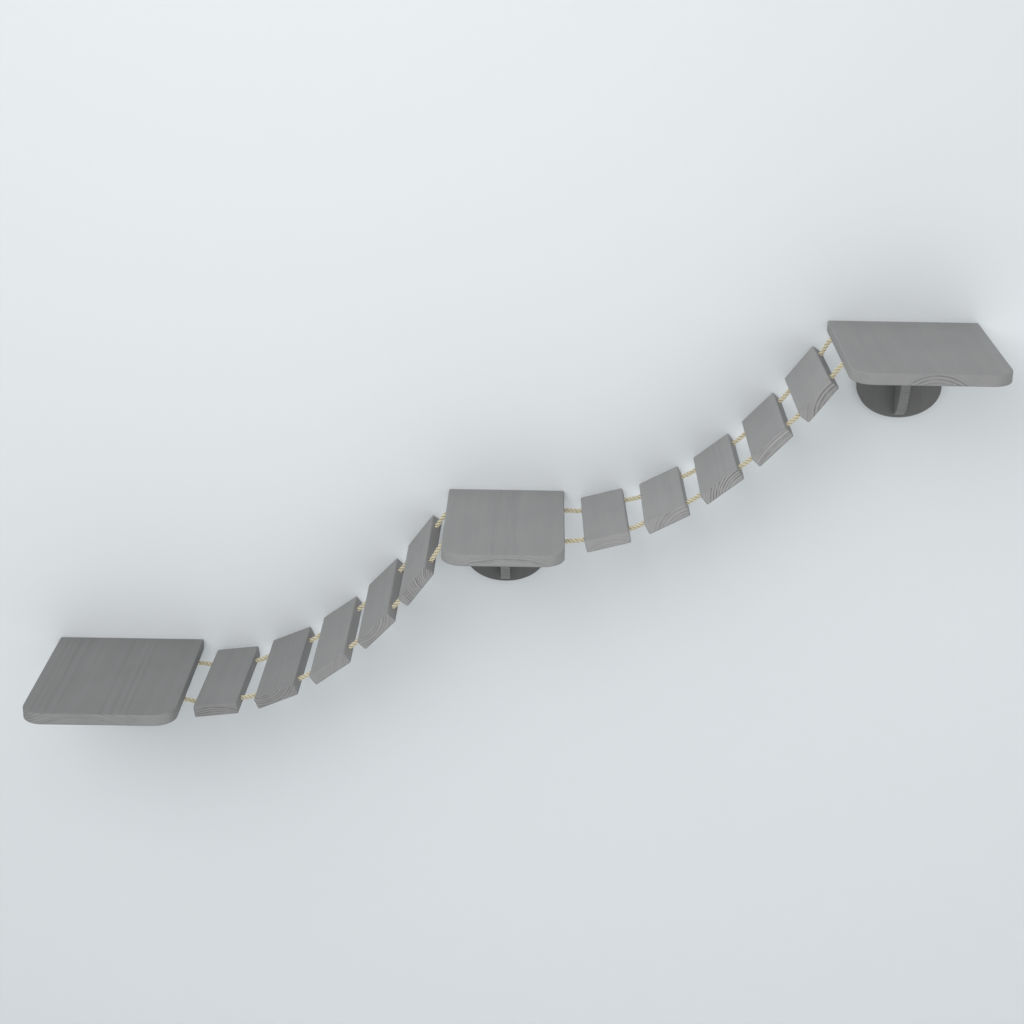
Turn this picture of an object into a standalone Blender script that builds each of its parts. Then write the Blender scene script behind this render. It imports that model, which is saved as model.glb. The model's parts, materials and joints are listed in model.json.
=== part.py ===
# Cat wall bridge: three boards on wall brackets, joined by two hanging plank bridges on ropes.
# Metres, +Z up. The wall is the plane Y = 0 and the boards stand out towards -Y.
# The origin is the centre of the middle wall plate's back face.
import math

import bmesh
import bpy
from mathutils import Matrix, Vector

# Boards
BOARD_DEPTH = 0.300
BOARD_THICKNESS = 0.020
SIDE_BOARD_WIDTH = 0.250
MIDDLE_BOARD_WIDTH = 0.196
BOARD_CORNER_RADIUS = 0.035
BOARD_EDGE_EASE = 0.002

# Layout on the wall
BRIDGE_SPAN = 0.430
LEFT_RISE = 0.2875
RIGHT_RISE = 0.307

# Planks
PLANKS_PER_BRIDGE = 5
PLANK_WIDTH = 0.073
PLANK_LENGTH = 0.220
PLANK_THICKNESS = 0.020
PLANK_WALL_GAP = 0.010
PLANK_EDGE_EASE = 0.0025

# Ropes: each end lies in a groove in a board's underside. The groove's centre is this far below
# the board's top, for the left and for the right bridge.
ROPE_DIAMETER = 0.008
ROPE_INSET = 0.039
BORE_CLEARANCE = 0.0003
LEFT_GROOVE_BELOW_TOP = 0.0235
RIGHT_GROOVE_BELOW_TOP = 0.0185
BOARD_GROOVE_LENGTH = 0.055
MOUTH_TURN_SHARE = 0.95

# How each bridge hangs: the slack of its rope, how far below the board's top the hanging curve
# meets each board's edge plane, how far the planks have slipped up the slope from even spacing,
# how much higher the front rope hangs than the rear one at mid span, and how much further up
# the slope the planks sit on the front rope than on the rear one
LEFT_SLACK_SHARE = 0.0488
LEFT_START_DROP = 0.0250
LEFT_END_DROP = 0.0213
LEFT_PLANK_SLIP = -0.0071
LEFT_FRONT_LIFT = -0.0043
LEFT_FRONT_SLIP = -0.0044
RIGHT_SLACK_SHARE = 0.0337
RIGHT_START_DROP = 0.0175
RIGHT_END_DROP = 0.0203
RIGHT_PLANK_SLIP = 0.0020
RIGHT_FRONT_LIFT = 0.0076
RIGHT_FRONT_SLIP = 0.0031

# Screws that pin the ropes in the planks and boards, driven from below
PIN_SHANK_DIAMETER = 0.003
PIN_HEAD_DIAMETER = 0.007
PIN_HEAD_HEIGHT = 0.002
PIN_LENGTH = 0.016
PIN_TIP_LENGTH = 0.003
BOARD_PIN_INSET = 0.040

# Wall brackets: a plate against the wall and an upright rib under the board
PLATE_WIDTH = 0.140
PLATE_HEIGHT = 0.141
PLATE_ROUND_HEIGHT = 0.052
PLATE_THICKNESS = 0.018
BRACKET_EDGE_EASE = 0.0015
RIB_THICKNESS = 0.016
RIB_HEIGHT = 0.134
RIB_BELLY_DEPTH = 0.065
RIB_ARM_DEPTH = 0.207
RIB_ARM_HEIGHT = 0.030
RIB_ARM_TIP_HEIGHT = 0.020
RIB_FILLET = 0.025
TENON_HEIGHT = 0.010
TENON_LENGTH = 0.035
TENON_INSET = 0.025
WALL_SCREW_HOLE_DIAMETER = 0.005
WALL_SCREW_HEAD_DIAMETER = 0.010
WALL_SCREW_SPACING_X = 0.090
WALL_SCREW_SPACING_Z = 0.045
WALL_SCREW_RAISE = 0.0175
RIB_SCREW_SPACING = 0.070
RIB_SCREW_SHANK_DIAMETER = 0.004
RIB_SCREW_HEAD_DIAMETER = 0.008
RIB_SCREW_HEAD_HEIGHT = 0.0025
RIB_SCREW_LENGTH = 0.045
RIB_SCREW_TIP_LENGTH = 0.005

# Clearances and fineness
SEAT_GAP = 0.0003
HEAD_RECESS = 0.0003
CUT_OVERRUN = 0.005
MERGE_DISTANCE = 0.00001
ROUND_SIDES = 16
SCREW_SIDES = 8
CORNER_SEGMENTS = 6
EASE_SEGMENTS = 2
ARC_POINTS = 9
GAP_POINTS = 3
ROPE_SIDE_STEPS = 2
BEND_SHARE = 1.3
SMOOTH_ANGLE = math.radians(35)
FACET_TURN = math.radians(13)

PLATE_TOP = PLATE_HEIGHT / 2
MIDDLE_TOP = PLATE_TOP + SEAT_GAP + BOARD_THICKNESS
SIDE_CENTRE_X = MIDDLE_BOARD_WIDTH / 2 + BRIDGE_SPAN + SIDE_BOARD_WIDTH / 2
ROPE_SPACING = PLANK_LENGTH - 2 * ROPE_INSET
PLANK_CENTRE_Y = -PLANK_WALL_GAP - PLANK_LENGTH / 2
BORE_RADIUS = ROPE_DIAMETER / 2 + BORE_CLEARANCE

BOARDS = {
    "left": (-SIDE_CENTRE_X, MIDDLE_TOP - LEFT_RISE, SIDE_BOARD_WIDTH),
    "middle": (0, MIDDLE_TOP, MIDDLE_BOARD_WIDTH),
    "right": (SIDE_CENTRE_X, MIDDLE_TOP + RIGHT_RISE, SIDE_BOARD_WIDTH),
}
# Each bridge's lower board, its upper board, and its grooves' distance below a board's top
BRIDGES = {
    "left": ("left", "middle", LEFT_GROOVE_BELOW_TOP),
    "right": ("middle", "right", RIGHT_GROOVE_BELOW_TOP),
}


def clear_scene():
    for thing in list(bpy.data.objects):
        bpy.data.objects.remove(thing)


def make_collection(name):
    collection = bpy.data.collections.new(name)
    bpy.context.scene.collection.children.link(collection)
    return collection


def make_material(name, colour, roughness, metallic=0.0):
    material = bpy.data.materials.new(name)
    material.use_nodes = True
    shader = material.node_tree.nodes["Principled BSDF"]
    shader.inputs["Base Color"].default_value = (*colour, 1)
    shader.inputs["Roughness"].default_value = roughness
    shader.inputs["Metallic"].default_value = metallic
    return material


def add_object(name, mesh, collection, place=None):
    thing = bpy.data.objects.new(name, mesh)
    collection.objects.link(thing)
    if place:
        thing.matrix_world = place
    return thing


def add_part(name, mesh, material, place=None):
    if not mesh.materials:
        mesh.materials.append(material)
    mesh.shade_smooth()
    mesh.set_sharp_from_angle(angle=SMOOTH_ANGLE)
    return add_object(name, mesh, PARTS, place)


def add_cutter(name, mesh, place=None):
    cutter = add_object(name, mesh, CUTTERS, place)
    cutter.hide_render = True
    cutter.display_type = "WIRE"
    return cutter


def cut(thing, cutter):
    boolean = thing.modifiers.new(cutter.name, "BOOLEAN")
    boolean.operation = "DIFFERENCE"
    boolean.object = cutter


def ease_edges(thing, width):
    bevel = thing.modifiers.new("eased_edges", "BEVEL")
    bevel.width = width
    bevel.segments = EASE_SEGMENTS
    bevel.limit_method = "ANGLE"
    bevel.use_clamp_overlap = False


def finished_mesh(thing, name):
    """Applies an object's modifiers and its place, and removes the object."""
    bpy.context.view_layer.update()
    seen = thing.evaluated_get(bpy.context.evaluated_depsgraph_get())
    mesh = bpy.data.meshes.new_from_object(seen)
    mesh.name = name
    mesh.transform(thing.matrix_world)
    bpy.data.objects.remove(thing)
    return mesh


def weld(mesh):
    shape = bmesh.new()
    shape.from_mesh(mesh)
    bmesh.ops.remove_doubles(shape, verts=shape.verts, dist=MERGE_DISTANCE)
    shape.to_mesh(mesh)
    shape.free()


def box_mesh(name, size, centre=(0, 0, 0)):
    shape = bmesh.new()
    bmesh.ops.create_cube(shape, size=1)
    bmesh.ops.scale(shape, vec=size, verts=shape.verts)
    bmesh.ops.translate(shape, vec=centre, verts=shape.verts)
    mesh = bpy.data.meshes.new(name)
    shape.to_mesh(mesh)
    shape.free()
    return mesh


def turned_mesh(name, profile, sides):
    """Turns a profile of (radius, height) points, listed from top to bottom, about Z."""
    mesh = bpy.data.meshes.new(name)
    points = [(radius, 0, height) for radius, height in profile]
    mesh.from_pydata(points, [(i, i + 1) for i in range(len(points) - 1)], [])
    thing = add_object(name, mesh, PARTS)
    screw = thing.modifiers.new("turn", "SCREW")
    screw.steps = sides
    screw.render_steps = sides
    screw.use_merge_vertices = True
    screw.merge_threshold = MERGE_DISTANCE
    return finished_mesh(thing, name)


def outline_mesh(name, points, thickness):
    """Fills a closed outline in the XY plane and gives it a thickness, centred on the plane."""
    curve = bpy.data.curves.new(name, "CURVE")
    curve.dimensions = "2D"
    curve.fill_mode = "BOTH"
    curve.extrude = thickness / 2
    curve.render_resolution_u = 0
    spline = curve.splines.new("POLY")
    spline.points.add(len(points) - 1)
    for point, (x, y) in zip(spline.points, points):
        point.co = (x, y, 0, 1)
    spline.use_cyclic_u = True
    mesh = finished_mesh(add_object(name, curve, PARTS), name)
    weld(mesh)
    return mesh


def tube_mesh(name, points, diameter):
    curve = bpy.data.curves.new(name, "CURVE")
    curve.dimensions = "3D"
    curve.bevel_depth = diameter / 2
    curve.bevel_resolution = ROPE_SIDE_STEPS
    curve.use_fill_caps = True
    curve.render_resolution_u = 0
    spline = curve.splines.new("POLY")
    spline.points.add(len(points) - 1)
    for point, place in zip(spline.points, points):
        point.co = (*place, 1)
    mesh = finished_mesh(add_object(name, curve, PARTS), name)
    weld(mesh)
    return mesh


def screw_profile(shank, head, head_height, length, tip):
    """Countersunk screw with its head's top at Z = 0."""
    return [
        (0, 0),
        (head / 2, 0),
        (shank / 2, -head_height),
        (shank / 2, tip - length),
        (0, -length),
    ]


def hole_profile(shank, head, head_height, length, tip):
    """The countersunk hole of such a screw, a seat gap wider and open above Z = 0."""
    return [
        (0, CUT_OVERRUN),
        (head / 2 + SEAT_GAP, CUT_OVERRUN),
        (head / 2 + SEAT_GAP, 0),
        (shank / 2 + SEAT_GAP, -head_height),
        (shank / 2 + SEAT_GAP, tip - length),
        (0, -length - SEAT_GAP),
    ]


def screw_mesh(name, profile):
    """A screw or its hole, its facets turned so that no edge lines up with a rope's."""
    mesh = turned_mesh(name, profile, SCREW_SIDES)
    mesh.transform(Matrix.Rotation(FACET_TURN, 4, "Z"))
    return mesh


def bore_mesh(name, length, through=False):
    """A rope's bore or groove from X = 0 along +X, with an overrun at each open end."""
    far = length + CUT_OVERRUN if through else length
    profile = [(0, far), (BORE_RADIUS, far), (BORE_RADIUS, -CUT_OVERRUN), (0, -CUT_OVERRUN)]
    mesh = turned_mesh(name, profile, ROUND_SIDES)
    mesh.transform(Matrix.Rotation(math.radians(90), 4, "Y"))
    return mesh


def catenary(start, end, slack_share):
    """Returns the length of a rope hung from start to end, and its place and slope along it."""
    run = end.x - start.x
    rise = end.z - start.z
    length = math.hypot(run, rise) * (1 + slack_share)
    target = math.sqrt(length ** 2 - rise ** 2) / run
    low, high = 0.0, math.pi
    for _ in range(60):
        half = (low + high) / 2
        if half == 0 or math.sinh(half) / half < target:
            low = half
        else:
            high = half
    size = run / (2 * half)
    lowest_x = (start.x + end.x) / 2 - size * math.asinh(rise / (2 * size * math.sinh(half)))
    start_arc = size * math.sinh((start.x - lowest_x) / size)
    start_height = math.cosh((start.x - lowest_x) / size)

    def at(distance):
        turn = math.asinh((start_arc + distance) / size)
        x = lowest_x + size * turn
        z = start.z + size * (math.cosh(turn) - start_height)
        return Vector((x, start.y, z)), math.atan((start_arc + distance) / size)

    return length, at


def plank_places(lower, upper, slack_share, start_drop, end_drop, slip, front_lift, front_slip):
    """World matrices of one bridge's planks: X runs up the slope and Y runs to the wall."""
    lower_x, lower_top, lower_width = BOARDS[lower]
    upper_x, upper_top, upper_width = BOARDS[upper]
    start = Vector((lower_x + lower_width / 2, PLANK_CENTRE_Y, lower_top - start_drop))
    end = Vector((upper_x - upper_width / 2, PLANK_CENTRE_Y, upper_top - end_drop))
    length, at = catenary(start, end, slack_share)
    gap = (length - PLANKS_PER_BRIDGE * PLANK_WIDTH) / (PLANKS_PER_BRIDGE + 1)
    skew = Matrix.Rotation(math.asin(front_slip / ROPE_SPACING), 4, "Z")
    places = []
    for i in range(PLANKS_PER_BRIDGE):
        distance = gap + PLANK_WIDTH / 2 + i * (gap + PLANK_WIDTH) + slip
        centre, slope = at(distance)
        lift = front_lift * math.sin(math.pi * distance / length)
        tilt = -math.asin(lift / ROPE_SPACING)
        turn = Matrix.Rotation(-slope, 4, "Y") @ Matrix.Rotation(tilt, 4, "X") @ skew
        places.append(Matrix.Translation(centre) @ turn)
    return places


def bend(start, start_way, end, end_way):
    """Points of a smooth curve between two places, leaving and arriving along the two ways."""
    pull = (end - start).length * BEND_SHARE
    points = []
    for i in range(1, GAP_POINTS + 1):
        t = i / (GAP_POINTS + 1)
        points.append(
            start * (2 * t ** 3 - 3 * t ** 2 + 1)
            + start_way * pull * (t ** 3 - 2 * t ** 2 + t)
            + end * (3 * t ** 2 - 2 * t ** 3)
            + end_way * pull * (t ** 3 - t ** 2)
        )
    return points


def mouth_way(start, end):
    """Way of a rope at a board's edge: turned from level towards the line to or from a plank."""
    level = Vector((1, 0, 0))
    return level.lerp((end - start).normalized(), MOUTH_TURN_SHARE).normalized()


def rope_route(side, places, across):
    """Route of one rope: from one board's groove, through each plank's bore, to the next groove."""
    lower, upper, below_top = BRIDGES[side]
    lower_x, lower_top, lower_width = BOARDS[lower]
    upper_x, upper_top, upper_width = BOARDS[upper]
    y = PLANK_CENTRE_Y + across
    inside = Vector((BOARD_GROOVE_LENGTH - SEAT_GAP, 0, 0))
    mouth = Vector((lower_x + lower_width / 2, y, lower_top - below_top))
    last_mouth = Vector((upper_x - upper_width / 2, y, upper_top - below_top))
    route = [mouth - inside, mouth]
    way = mouth_way(mouth, places[0] @ Vector((-PLANK_WIDTH / 2, across, 0)))
    for place in places:
        entry = place @ Vector((-PLANK_WIDTH / 2, across, 0))
        leave = place @ Vector((PLANK_WIDTH / 2, across, 0))
        along = (leave - entry).normalized()
        route += bend(route[-1], way, entry, along) + [entry, leave]
        way = along
    route += bend(route[-1], way, last_mouth, mouth_way(route[-1], last_mouth))
    return route + [last_mouth, last_mouth + inside]


def pin_places(places, board_pins):
    """World matrices of the pin screws of one bridge's rope pair, heads down."""
    flip = Matrix.Rotation(math.radians(180), 4, "X")
    drop = Matrix.Translation((0, 0, HEAD_RECESS - PLANK_THICKNESS / 2))
    found = {}
    for i, place in enumerate(places, 1):
        for side, across in ROPE_SIDES.items():
            found[f"plank_{i}_{side}_pin"] = place @ Matrix.Translation((0, across, 0)) @ drop @ flip
    for board, x, z in board_pins:
        for side, across in ROPE_SIDES.items():
            spot = Matrix.Translation((x, PLANK_CENTRE_Y + across, z))
            found[f"{board}_board_{side}_pin"] = spot @ flip
    return found


def build_plank_mesh():
    plank = add_object("plank", box_mesh("plank", (PLANK_WIDTH, PLANK_LENGTH, PLANK_THICKNESS)), PARTS)
    ease_edges(plank, PLANK_EDGE_EASE)
    cutters = []
    for side, across in ROPE_SIDES.items():
        bore = bore_mesh(f"plank_{side}_bore", PLANK_WIDTH, through=True)
        place = Matrix.Translation((-PLANK_WIDTH / 2, across, 0))
        cutters.append(add_cutter(f"plank_{side}_bore", bore, place))
        flip = Matrix.Rotation(math.radians(180), 4, "X")
        place = Matrix.Translation((0, across, HEAD_RECESS - PLANK_THICKNESS / 2)) @ flip
        cutters.append(add_cutter(f"plank_{side}_pin_hole", PIN_HOLE, place))
    for cutter in cutters:
        cut(plank, cutter)
    return finished_mesh(plank, "plank")


def build_board(side):
    centre_x, top, width = BOARDS[side]
    name = f"{side}_board"
    mesh = box_mesh(name, (width, BOARD_DEPTH, BOARD_THICKNESS))
    shape = bmesh.new()
    shape.from_mesh(mesh)
    corners = [
        edge for edge in shape.edges
        if all(vert.co.y < 0 for vert in edge.verts)
        and edge.verts[0].co.x == edge.verts[1].co.x
    ]
    bmesh.ops.bevel(
        shape, geom=corners, offset=BOARD_CORNER_RADIUS, segments=CORNER_SEGMENTS,
        profile=0.5, affect="EDGES",
    )
    shape.to_mesh(mesh)
    shape.free()
    mesh.transform(Matrix.Translation((0, -BOARD_DEPTH / 2, -BOARD_THICKNESS / 2)))
    board = add_part(name, mesh, BOARD_WOOD, Matrix.Translation((centre_x, 0, top)))
    ease_edges(board, BOARD_EDGE_EASE)
    return board


def board_pin_height(side, below_top):
    """Height of the driven faces of a board's pins: just inside the underside of its ropes."""
    _, top, _ = BOARDS[side]
    return top - below_top - ROPE_DIAMETER / 2 + HEAD_RECESS


def cut_board_grooves(board, side, edge, below_top):
    """Cuts the two rope grooves and pin holes of the left (-1) or right (1) edge."""
    centre_x, top, width = BOARDS[side]
    edge_x = centre_x + edge * width / 2
    flip = Matrix.Rotation(math.radians(180), 4, "X")
    turn = Matrix.Rotation(math.pi if edge > 0 else 0, 4, "Z")
    for rope, across in ROPE_SIDES.items():
        y = PLANK_CENTRE_Y + across
        name = f"{side}_board_{rope}_{edge}"
        place = Matrix.Translation((edge_x, y, top - below_top)) @ turn
        cut(board, add_cutter(f"{name}_groove", bore_mesh(name, BOARD_GROOVE_LENGTH), place))
        spot = (edge_x - edge * BOARD_PIN_INSET, y, board_pin_height(side, below_top))
        cut(board, add_cutter(f"{name}_pin_hole", PIN_HOLE, Matrix.Translation(spot) @ flip))


def tenon_centres():
    """Distances of the rib's two tenons from the rib's rear edge."""
    length = RIB_ARM_DEPTH - PLATE_THICKNESS - SEAT_GAP
    return TENON_INSET + TENON_LENGTH / 2, length - TENON_INSET - TENON_LENGTH / 2


def cut_mortises(board, side):
    centre_x, top, _ = BOARDS[side]
    rear = -PLATE_THICKNESS - SEAT_GAP
    for number, centre in enumerate(tenon_centres(), 1):
        size = (
            RIB_THICKNESS + 2 * SEAT_GAP,
            TENON_LENGTH + 2 * SEAT_GAP,
            TENON_HEIGHT + SEAT_GAP + CUT_OVERRUN,
        )
        name = f"{side}_board_mortise_{number}"
        middle = top - BOARD_THICKNESS + (TENON_HEIGHT + SEAT_GAP - CUT_OVERRUN) / 2
        cut(board, add_cutter(name, box_mesh(name, size, (centre_x, rear - centre, middle))))


def plate_outline():
    """Half width and height points of the wall plate: a square top and a half oval foot."""
    half = PLATE_WIDTH / 2
    foot = -PLATE_HEIGHT / 2
    shoulder = foot + PLATE_ROUND_HEIGHT
    points = [(half, PLATE_TOP)]
    for i in range(2 * ARC_POINTS + 1):
        angle = math.pi * i / (2 * ARC_POINTS)
        points.append((half * math.cos(angle), shoulder - PLATE_ROUND_HEIGHT * math.sin(angle)))
    points.append((-half, PLATE_TOP))
    return points


def build_plate(side):
    centre_x, top, _ = BOARDS[side]
    centre_z = top - MIDDLE_TOP
    name = f"{side}_wall_plate"
    mesh = outline_mesh(name, plate_outline(), PLATE_THICKNESS)
    mesh.transform(Matrix.Rotation(math.radians(90), 4, "X"))
    mesh.transform(Matrix.Translation((0, -PLATE_THICKNESS / 2, 0)))
    plate = add_part(name, mesh, BRACKET_WOOD, Matrix.Translation((centre_x, 0, centre_z)))
    ease_edges(plate, BRACKET_EDGE_EASE)
    sink = (WALL_SCREW_HEAD_DIAMETER - WALL_SCREW_HOLE_DIAMETER) / 2
    profile = [
        (0, CUT_OVERRUN),
        (WALL_SCREW_HEAD_DIAMETER / 2, CUT_OVERRUN),
        (WALL_SCREW_HEAD_DIAMETER / 2, 0),
        (WALL_SCREW_HOLE_DIAMETER / 2, -sink),
        (WALL_SCREW_HOLE_DIAMETER / 2, -PLATE_THICKNESS - CUT_OVERRUN),
        (0, -PLATE_THICKNESS - CUT_OVERRUN),
    ]
    face_front = Matrix.Rotation(math.radians(90), 4, "X")
    for column in (-1, 1):
        for row in (-1, 1):
            hole = f"{side}_wall_screw_hole_{column}_{row}"
            x = centre_x + column * WALL_SCREW_SPACING_X / 2
            z = centre_z + WALL_SCREW_RAISE + row * WALL_SCREW_SPACING_Z / 2
            place = Matrix.Translation((x, -PLATE_THICKNESS, z)) @ face_front
            cut(plate, add_cutter(hole, turned_mesh(hole, profile, ROUND_SIDES), place))
    for place in rib_screw_places(side).values():
        cut(plate, add_cutter(f"{side}_plate_screw_hole", RIB_SCREW_HOLE, place))
    return plate


def rib_outline():
    """Outline of the rib: depth from its rear edge, and height from its top edge."""
    length = RIB_ARM_DEPTH - PLATE_THICKNESS - SEAT_GAP
    tip_radius = RIB_ARM_TIP_HEIGHT
    fillet_end = -RIB_ARM_HEIGHT - RIB_FILLET
    belly = RIB_BELLY_DEPTH * math.sqrt(1 - (fillet_end / RIB_HEIGHT) ** 2)
    points = [(0, 0), (0, -RIB_HEIGHT)]
    first = math.asin(-fillet_end / RIB_HEIGHT)
    for i in range(1, ARC_POINTS + 1):
        angle = math.pi / 2 + (first - math.pi / 2) * i / ARC_POINTS
        points.append((RIB_BELLY_DEPTH * math.cos(angle), -RIB_HEIGHT * math.sin(angle)))
    for i in range(1, ARC_POINTS + 1):
        angle = math.pi / 2 * i / ARC_POINTS
        points.append((
            belly + RIB_FILLET * (1 - math.cos(angle)),
            fillet_end + RIB_FILLET * math.sin(angle),
        ))
    for i in range(ARC_POINTS + 1):
        angle = math.pi / 2 * i / ARC_POINTS
        points.append((
            length - tip_radius * (1 - math.sin(angle)),
            -tip_radius * math.cos(angle),
        ))
    for centre in reversed(tenon_centres()):
        front = centre + TENON_LENGTH / 2
        rear = centre - TENON_LENGTH / 2
        points += [(front, 0), (front, TENON_HEIGHT), (rear, TENON_HEIGHT), (rear, 0)]
    return points


def build_rib(side):
    centre_x, top, _ = BOARDS[side]
    name = f"{side}_rib"
    mesh = outline_mesh(name, rib_outline(), RIB_THICKNESS)
    # The outline's depth runs to -Y and its height to +Z.
    mesh.transform(Matrix(((0, 0, 1, 0), (-1, 0, 0, 0), (0, 1, 0, 0), (0, 0, 0, 1))))
    mesh.flip_normals()
    spot = (centre_x, -PLATE_THICKNESS - SEAT_GAP, top - BOARD_THICKNESS - SEAT_GAP)
    rib = add_part(name, mesh, BRACKET_WOOD, Matrix.Translation(spot))
    for place in rib_screw_places(side).values():
        cut(rib, add_cutter(f"{side}_rib_screw_hole", RIB_SCREW_HOLE, place))
    return rib


def rib_screw_places(side):
    """World matrices of the two screws that pull the rib against the plate, heads to the wall."""
    centre_x, top, _ = BOARDS[side]
    face_wall = Matrix.Rotation(math.radians(-90), 4, "X")
    found = {}
    for name, row in (("upper", 1), ("lower", -1)):
        spot = (centre_x, -HEAD_RECESS, top - MIDDLE_TOP + row * RIB_SCREW_SPACING / 2)
        found[f"{side}_rib_{name}_screw"] = Matrix.Translation(spot) @ face_wall
    return found


def build_bridge(side, hang, plank_mesh):
    """Planks, ropes and pin screws of one bridge."""
    lower, upper, below_top = BRIDGES[side]
    places = plank_places(lower, upper, *hang)
    for i, place in enumerate(places, 1):
        add_part(f"{side}_plank_{i}", plank_mesh, PLANK_WOOD, place)
    lower_x, _, lower_width = BOARDS[lower]
    upper_x, _, upper_width = BOARDS[upper]
    board_pins = (
        ("lower", lower_x + lower_width / 2 - BOARD_PIN_INSET, board_pin_height(lower, below_top)),
        ("upper", upper_x - upper_width / 2 + BOARD_PIN_INSET, board_pin_height(upper, below_top)),
    )
    pins = pin_places(places, board_pins)
    for name, place in pins.items():
        add_part(f"{side}_{name}", PIN_MESH, STEEL, place)
    for rope_side, across in ROPE_SIDES.items():
        name = f"{side}_{rope_side}_rope"
        mesh = tube_mesh(name, rope_route(side, places, across), ROPE_DIAMETER)
        rope = add_part(name, mesh, ROPE_FIBRE)
        for pin, place in pins.items():
            if rope_side in pin:
                cut(rope, add_cutter(f"{side}_{pin}_hole", PIN_HOLE, place))


clear_scene()
PARTS = make_collection("cat_wall_bridge")
CUTTERS = make_collection("cutters")
BOARD_WOOD = make_material("board_grey_pine", (0.262, 0.262, 0.256), 0.62)
PLANK_WOOD = make_material("plank_grey_pine", (0.270, 0.268, 0.262), 0.62)
BRACKET_WOOD = make_material("bracket_dark_grey_pine", (0.120, 0.120, 0.118), 0.65)
ROPE_FIBRE = make_material("rope_natural_fibre", (0.560, 0.500, 0.330), 0.90)
STEEL = make_material("screw_zinc_steel", (0.620, 0.620, 0.610), 0.35, 1.0)

ROPE_SIDES = {"rear": ROPE_SPACING / 2, "front": -ROPE_SPACING / 2}
PIN_SIZES = (PIN_SHANK_DIAMETER, PIN_HEAD_DIAMETER, PIN_HEAD_HEIGHT, PIN_LENGTH, PIN_TIP_LENGTH)
RIB_SCREW_SIZES = (
    RIB_SCREW_SHANK_DIAMETER, RIB_SCREW_HEAD_DIAMETER, RIB_SCREW_HEAD_HEIGHT,
    RIB_SCREW_LENGTH, RIB_SCREW_TIP_LENGTH,
)
PIN_MESH = screw_mesh("pin_screw", screw_profile(*PIN_SIZES))
PIN_HOLE = screw_mesh("pin_hole", hole_profile(*PIN_SIZES))
RIB_SCREW_MESH = screw_mesh("rib_screw", screw_profile(*RIB_SCREW_SIZES))
RIB_SCREW_HOLE = screw_mesh("rib_screw_hole", hole_profile(*RIB_SCREW_SIZES))

for board_side in BOARDS:
    board = build_board(board_side)
    for lower_side, upper_side, groove_below_top in BRIDGES.values():
        if board_side == lower_side:
            cut_board_grooves(board, board_side, 1, groove_below_top)
        if board_side == upper_side:
            cut_board_grooves(board, board_side, -1, groove_below_top)
    cut_mortises(board, board_side)
    build_plate(board_side)
    build_rib(board_side)
    for screw_name, screw_place in rib_screw_places(board_side).items():
        add_part(screw_name, RIB_SCREW_MESH, STEEL, screw_place)

plank = build_plank_mesh()
left_hang = (
    LEFT_SLACK_SHARE, LEFT_START_DROP, LEFT_END_DROP,
    LEFT_PLANK_SLIP, LEFT_FRONT_LIFT, LEFT_FRONT_SLIP,
)
right_hang = (
    RIGHT_SLACK_SHARE, RIGHT_START_DROP, RIGHT_END_DROP,
    RIGHT_PLANK_SLIP, RIGHT_FRONT_LIFT, RIGHT_FRONT_SLIP,
)
build_bridge("left", left_hang, plank)
build_bridge("right", right_hang, plank)
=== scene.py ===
import json
import math

import bmesh
import bpy
from mathutils import Matrix, Vector


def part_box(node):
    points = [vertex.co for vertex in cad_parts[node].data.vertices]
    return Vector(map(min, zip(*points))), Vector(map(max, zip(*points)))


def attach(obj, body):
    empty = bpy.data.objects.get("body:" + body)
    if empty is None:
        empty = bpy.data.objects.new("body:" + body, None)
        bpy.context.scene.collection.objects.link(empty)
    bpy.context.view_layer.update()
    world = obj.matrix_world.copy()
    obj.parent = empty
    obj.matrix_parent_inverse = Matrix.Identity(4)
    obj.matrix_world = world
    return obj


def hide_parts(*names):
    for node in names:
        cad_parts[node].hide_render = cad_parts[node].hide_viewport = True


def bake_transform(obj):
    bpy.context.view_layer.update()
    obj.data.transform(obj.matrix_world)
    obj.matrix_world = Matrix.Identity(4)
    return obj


# Cat wall bridge: grey-stained pine boards on wall brackets, joined by planks hung on rope.
# A piece's own axes have X across it, Y to the wall, along the wood's fibres, and Z up.
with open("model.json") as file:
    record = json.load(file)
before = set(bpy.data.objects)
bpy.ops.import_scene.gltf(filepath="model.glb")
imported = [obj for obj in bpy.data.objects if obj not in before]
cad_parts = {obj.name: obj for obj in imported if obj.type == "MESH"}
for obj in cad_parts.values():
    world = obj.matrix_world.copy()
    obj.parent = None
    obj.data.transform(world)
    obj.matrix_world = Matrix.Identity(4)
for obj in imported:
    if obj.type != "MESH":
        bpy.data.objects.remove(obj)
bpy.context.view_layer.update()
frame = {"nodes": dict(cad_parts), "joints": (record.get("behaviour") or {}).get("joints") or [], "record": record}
scene = bpy.context.scene
scene.view_settings.view_transform = "Standard"
record = frame["record"]
joints = {joint["name"]: joint for joint in frame["joints"]}
print("frame loaded:", len(frame["nodes"]), "nodes")


# Camera
cameraSetup = {
    "place": (0.0606, -3.1951, 1.2582),
    "pitch": -20.499,  # degrees, negative looks down
    "yaw": -0.612,
    "roll": -1.122,
    "lens": 70.14,  # mm on a 36 mm sensor
    "shiftX": -0.0487,
    "shiftY": -0.0065,
}


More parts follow.
